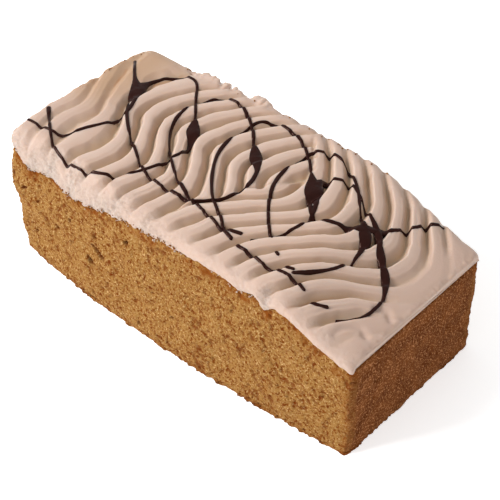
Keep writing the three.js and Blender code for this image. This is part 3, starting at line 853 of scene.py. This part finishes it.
def evened(heights, reach):
    """Heights along a route, each averaged with those within a reach before and after it."""
    steps = int(reach / DRIZZLE_STEP)
    padded = np.pad(heights, steps, mode="edge")
    return np.convolve(padded, np.full(2 * steps + 1, 1 / (2 * steps + 1)), mode="valid")


def stroke_bridge(x, y, surface):
    """How high a stroke hangs over grooves; on the shoulder and in the second comb it follows them."""
    on_shoulder = smoothstep(-y, *BRIDGE["shoulder"])
    in_middle = smoothstep(y, *BRIDGE["middle"])
    follows = lerp(on_shoulder, in_middle, second_comb_share(x, y))
    share = lerp(BRIDGE["most"], BRIDGE["least"], follows)
    return share * np.maximum(evened(surface, BRIDGE["reach"]) - surface, 0)


def stroke_width(x, y):
    """Half the width of a stroke along it, and how far it has run out into a pool, from 0 to 1."""
    half = DRIZZLE_HALF_WIDTH * (1 + layered(DRIZZLE_SWELL, x, y))
    filled = np.zeros(len(x))
    for pool_x, pool_y, pool_half in POOLS:
        near = bell(np.hypot(x - pool_x, y - pool_y), POOL_LENGTH / 2)
        half = np.maximum(half, lerp(DRIZZLE_HALF_WIDTH, pool_half, near))
        filled = np.maximum(filled, near)
    return half, filled


def end_rounding(count):
    """Share of a stroke's full size along it, which falls off in a round at both ends."""
    from_end = np.minimum(np.arange(count), np.arange(count)[::-1]) * DRIZZLE_STEP
    inside = np.clip(from_end / DRIZZLE_HALF_WIDTH, 0, 1)
    return np.sqrt(np.clip(1 - (1 - inside) ** 2, LEAST_END ** 2, 1))


def sideways(route):
    """Level directions square to a route, at each of its points."""
    ahead = np.gradient(route, axis=0)
    ahead /= np.linalg.norm(ahead, axis=1, keepdims=True)
    return -ahead[:, 1], ahead[:, 0]


def slope_share(x, y, out_x, out_y, half):
    """Share of a stroke's width that is left from above, where the icing slopes across it."""
    left = icing_top(x + out_x * half, y + out_y * half)
    right = icing_top(x - out_x * half, y - out_y * half)
    return 1 / np.hypot(1, (left - right) / (2 * half))


def stroke_rings(route):
    """Rings of points round one stroke, draped over the icing; pools fill the grooves below them."""
    x, y = route.T
    out_x, out_y = sideways(route)
    half, filled = stroke_width(x, y)
    half *= lerp(slope_share(x, y, out_x, out_y, half), 1, filled)
    tall = lerp(DRIZZLE_HALF_HEIGHT, POOL_HALF_HEIGHT, filled)
    ends = end_rounding(len(x))
    surface = icing_top(x, y)
    level = crown(x, y) - POOL_SINK
    bridge = stroke_bridge(x, y, surface)
    rings = []
    for turn in 2 * np.pi * np.arange(DRIZZLE_SIDES) / DRIZZLE_SIDES:
        side = math.cos(turn) * half * ends
        px, py = x + out_x * side, y + out_y * side
        below = icing_top(px, py)
        draped = lerp(surface, below, TUBE["lean"]) + bridge * ends
        z = lerp(draped, level, filled) + (TUBE["lift"] + math.sin(turn)) * tall * ends
        if math.sin(turn) < 0:
            z = np.where(bridge > BRIDGE["free"], z, np.minimum(z, below - TUBE["sink"]))
        else:
            z = np.maximum(z, below + TUBE["cover"] * math.sin(turn) * tall * ends)
        rings.append(np.stack([px, py, z], -1))
    return np.stack(rings, 1)


def drizzle_piece():
    strokes = [stroke_rings(route) for route in drizzle_routes()]
    parts = [(rings.reshape(-1, 3), tube_faces(len(rings), DRIZZLE_SIDES)) for rings in strokes]
    points, faces = joined(parts)
    new_piece("chocolate_drizzle", points, faces, chocolate_material(), "icing")


# Sponge piece
def wall_places():
    """Columns round the loaf: place along it, and side reached from front (0) to back (1)."""
    front = np.linspace(-HALF, HALF, FRONT_COLUMNS, endpoint=False)
    back = np.linspace(HALF, -HALF, BACK_COLUMNS, endpoint=False)
    end = np.linspace(0, 1, END_COLUMNS, endpoint=False)
    x = np.concatenate([front, np.full(END_COLUMNS, HALF), back, np.full(END_COLUMNS, -HALF)])
    reach = np.concatenate([0 * front, end, 0 * back + 1, 1 - end])
    return x, reach


def sponge_rings():
    """The sponge's walls as rings round the loaf, from its base up."""
    x, reach = wall_places()

    def side_y(z, side):
        return side["sign"] * (half_width_at(x, z, side) - corner_inset(x) + side_lump(x, z))

    edge_y = lerp(-FRONT["half_width"], BACK["half_width"], reach)
    height = sponge_top(x, edge_y)
    rings = []
    for share in np.linspace(0, 1, SPONGE_ROWS):
        z = share * height
        inset = BASE_EDGE * quarter_round(z, BASE_EDGE) + TOP_EDGE * quarter_round(height - z, TOP_EDGE)
        y = lerp(side_y(z, FRONT), side_y(z, BACK), reach)
        middle = lerp(side_y(z, FRONT), side_y(z, BACK), 0.5)
        shrink = 1 - inset / half_width_at(x, z, FRONT)
        rings.append(np.stack([x * (1 - inset / HALF), middle + (y - middle) * shrink, z], -1))
    return np.stack(rings)


def hole_reach(x, z):
    """How far a place is from the middle of the nearest hole: 1 at the hole's rim."""
    reach = np.full_like(x, np.inf)
    for hole_x, hole_z, half_length, half_height, rise in HOLES:
        up = z - hole_z - rise * (x - hole_x)
        reach = np.minimum(reach, np.hypot((x - hole_x) / half_length, up / half_height))
    return reach


def pore_shares(s, z):
    """Shares of small and of large pores at places round the loaf and up it."""
    slant = s + PORE_SLANT * z
    cells = layered(SMALL_PORES["noise"], slant, SMALL_PORES["rise"] * z)
    small = smoothstep(cells + layered(SMALL_PORES["patches"], s, z), *SMALL_PORES["rim"])
    pits = layered(LARGE_PORES["noise"], slant, LARGE_PORES["rise"] * z)
    large = smoothstep(pits + layered(LARGE_PORES["edge"], s, z), *LARGE_PORES["rim"])
    return small, large


def crumb_relief(rings):
    """Depth of the crumb's relief, with the shares of painted shade in the pores, and in the holes and
    large pores, at each point.
    """
    x, y, z = np.moveaxis(rings, -1, 0)
    step = np.linalg.norm(np.diff(rings, axis=1, append=rings[:, :1]), axis=-1).mean(0)
    s = np.concatenate([[0], np.cumsum(step)[:-1]])[None, :] + 0 * z
    small, large = pore_shares(s, z)
    grain = GRAIN["height"] * layered(GRAIN["noise"], s, z)
    swells = SWELLS["height"] * layered(SWELLS["noise"], s, z)
    at_base = 1 - smoothstep(z, 0, BASE_CHIPS["height"])
    chips = at_base * (BASE_CHIPS["depth"] + layered(BASE_CHIPS["noise"], s, z))
    reach = np.where(y < 0, hole_reach(x, z) + layered(HOLE_EDGE, s, z), np.inf)
    hole = HOLE_DEPTH * (1 - smoothstep(reach, *HOLE_WALL))
    pores = SMALL_PORES["depth"] * small + LARGE_PORES["depth"] * large
    # Painted shade: full in the holes, half in the large pores
    deep_shade = np.maximum(1 - smoothstep(reach, *HOLE_SHADE), LARGE_PORES["shade"] * large)
    # The second share is painted shade in the small and large pores
    return pores + chips + hole - grain - swells, np.maximum(SMALL_PORES["shade"] * small, large), deep_shade


def crust_share(x, y, z, reach):
    """How far the tin end's crust covers the crumb at a place, from 0 to 1, and less at its edges."""
    ragged_x = x + layered(CRUST["edge"], y, z)
    on_end = smoothstep(ragged_x, HALF - CRUST["start"], HALF - CRUST["full"])
    from_sides = smoothstep(reach, 0, CRUST["from_front"]) * smoothstep(1 - reach, 0, CRUST["from_back"])
    from_edge = from_sides * smoothstep(z, 0, CRUST["from_base"])
    return on_end * lerp(CRUST["least"], 1, from_edge)


def browned_share(x, y, z, reach):
    """How browned the crumb is at a place: patchy under the lip, along the base, by the tin end."""
    lip = np.where(reach == 0, front_lip(x), back_lip(x))
    patches = BROWNED["usual"] + layered(BROWNED["patches"], x, y + z)
    under_lip = smoothstep(z, lip - BROWNED["start"], lip - BROWNED["full"]) * patches
    at_base = BROWNED["at_base"] * (1 - smoothstep(z, 0, BROWNED["base_height"]))
    at_tin = BROWNED["at_tin"] * smoothstep(x, HALF - BROWNED["tin_length"], HALF)
    return np.clip(under_lip + at_base + at_tin, 0, 1)


def sponge_piece():
    rings = sponge_rings()
    rows, size, _ = rings.shape
    x, y, z = np.moveaxis(rings, -1, 0)
    _, reach = wall_places()
    depth, pore_shade, hole = crumb_relief(rings)
    crust = crust_share(x, y, z, reach)
    low = smoothstep(z, *RELIEF_KEPT["base_height"])
    keep = lerp(RELIEF_KEPT["at_base"], 1, low) * lerp(1, RELIEF_KEPT["on_crust"], crust)
    outward = np.swapaxes(normals_of(np.swapaxes(rings, 0, 1), True), 0, 1)
    walls = rings - outward * (depth * keep)[..., None]
    walls[..., 2] = np.maximum(walls[..., 2], 0)
    caps = [np.stack([x[-1] * k, y[-1] * k, sponge_top(x[-1] * k, y[-1] * k)], -1) for k in CAP_SHARES]
    points = np.vstack([walls.reshape(-1, 3), *caps])
    faces = tube_faces(rows + len(caps), size)
    browned = browned_share(x, y, z, reach)
    # The pore and hole values are painted shade in the crumb's pores and holes
    shares = {"pore_shade": pore_shade * keep, "hole": hole * keep, "browned": browned, "crust": crust}
    hidden = np.zeros(len(caps) * size)
    values = {key: np.concatenate([share.ravel(), hidden]) for key, share in shares.items()}
    new_piece("sponge_crumb", points, faces, crumb_material(), "sponge", values)


# Crumbs
def ball():
    """Points and faces of an even ball of twenty faces; its corners are turns of (0, 1, GOLDEN)."""
    signs = [(a, b) for a in (-1, 1) for b in (-GOLDEN, GOLDEN)]
    points = np.array([point for a, b in signs for point in ((0, a, b), (a, b, 0), (b, 0, a))], float)
    near = np.isclose(np.linalg.norm(points[:, None] - points[None], axis=-1), BALL_EDGE)
    faces = []
    for a, b, c in itertools.combinations(range(len(points)), 3):
        if near[a, b] and near[b, c] and near[a, c]:
            outward = np.dot(np.cross(points[b] - points[a], points[c] - points[a]), points[a])
            faces.append((a, b, c) if outward > 0 else (a, c, b))
    return points / np.linalg.norm(points[0]), faces


def lump(ball_points, place, rng):
    """Points of one crumb at a place: a ball, dented and squeezed."""
    x, y, z = place
    size = rng.uniform(*CRUMB_RADIUS)
    dents = rng.uniform(*CRUMB_DENTS, (len(ball_points), 1))
    squeeze = rng.uniform(*CRUMB_SQUEEZE, 3)
    return ball_points * dents * squeeze * size + (x, y, z + CRUMB_LIFT * size)


def on_icing(x, y):
    return x, y, float(icing_top(np.array([x]), np.array([y]))[0])


def crumb_places(rng):
    """Places of the loose crumbs: along the icing's cut end, its back edge and its front lip."""
    places = []
    for _ in range(CUT_END_CRUMBS["count"]):
        x = -HALF + rng.uniform(*CUT_END_CRUMBS["inward"])
        first = icing_edge(x, FRONT) + CUT_END_CRUMBS["from_front"]
        places.append(on_icing(x, rng.uniform(first, icing_edge(x, BACK) - CUT_END_CRUMBS["from_back"])))
    for _ in range(BACK_CRUMBS["count"]):
        x = rng.uniform(*BACK_CRUMBS["along"])
        places.append(on_icing(x, icing_edge(x, BACK) - rng.uniform(*BACK_CRUMBS["inward"])))
    for _ in range(FRONT_CRUMBS["count"]):
        x = rng.uniform(*FRONT_CRUMBS["along"])
        y = icing_edge(x, FRONT) - FRONT_CRUMBS["outward"]
        places.append((x, y, front_lip(x) + rng.uniform(*FRONT_CRUMBS["up"])))
    return places


def fleck_places(rng):
    """Places of the icing's flecks: on the sponge's front, within a few millimetres under the lip."""
    places = []
    for _ in range(FLECKS["count"]):
        x = rng.uniform(*FLECKS["along"])
        z = front_lip(x) - FLECKS["drop"] * rng.uniform(0, 1) ** 2
        places.append((x, -half_width_at(x, z, FRONT) - side_lump(x, z), z))
    return places


def scatter_piece(name, places, rng, material, shares):
    """One piece of small lumps, each at its place, with the same shares of colour all over."""
    ball_points, ball_faces = ball()
    lumps = [lump(ball_points, place, rng) for place in places]
    points, faces = joined((own, ball_faces) for own in lumps)
    values = {key: np.full(len(points), share) for key, share in shares.items()}
    new_piece(name, points, faces, material, values=values)


def scattered_pieces():
    rng = np.random.default_rng(SCATTER_SEED)
    scatter_piece("crumbs", crumb_places(rng), rng, crumb_material(), CRUMB_SHARES)
    scatter_piece("icing_flecks", fleck_places(rng), rng, icing_material(), FLECK_SHARES)


# Stage
def floor():
    mesh = bpy.data.meshes.new("floor")
    corners = [(a * FLOOR_HALF, b * FLOOR_HALF, 0) for a, b in ((-1, -1), (1, -1), (1, 1), (-1, 1))]
    mesh.from_pydata(corners, [], [(0, 1, 2, 3)])
    shades = Shades("floor", **FLOOR_SURFACE)
    shades.shader.inputs["Emission Color"].default_value = WHITE
    shades.shader.inputs["Emission Strength"].default_value = FLOOR_GLOW
    mesh.materials.append(shades.finish(FLOOR_WHITE))
    plane = bpy.data.objects.new("floor", mesh)
    bpy.context.collection.objects.link(plane)


def aim(thing, place, target):
    thing.location = place
    thing.rotation_euler = (Vector(target) - Vector(place)).to_track_quat("-Z", "Y").to_euler()


def key_light():
    light = bpy.data.lights.new("key", "AREA")
    light.size = KEY_LIGHT["size"]
    light.energy = KEY_LIGHT["power"]
    lamp = bpy.data.objects.new("key", light)
    bpy.context.collection.objects.link(lamp)
    aim(lamp, KEY_LIGHT["place"], KEY_LIGHT["target"])


def camera():
    azimuth = math.radians(AZIMUTH)
    elevation = math.radians(ELEVATION)
    level = math.cos(elevation)
    back = Vector((math.sin(azimuth) * level, -math.cos(azimuth) * level, math.sin(elevation)))
    lens = bpy.data.cameras.new("camera")
    lens.sensor_width = SENSOR
    lens.lens = FOCAL_PIXELS * SENSOR / IMAGE_PIXELS
    eye = bpy.data.objects.new("camera", lens)
    bpy.context.collection.objects.link(eye)
    target = Vector(TARGET) * MM
    aim(eye, target + back * DISTANCE * MM, target)
    bpy.context.scene.camera = eye


def world():
    sky = bpy.data.worlds.new("studio")
    sky.use_nodes = True
    background = sky.node_tree.nodes["Background"]
    background.inputs["Color"].default_value = WHITE
    background.inputs["Strength"].default_value = SKY_STRENGTH
    bpy.context.scene.world = sky
    bpy.context.scene.view_settings.view_transform = "Standard"


sponge_piece()
icing_piece()
drizzle_piece()
scattered_pieces()
floor()
world()
key_light()
camera()
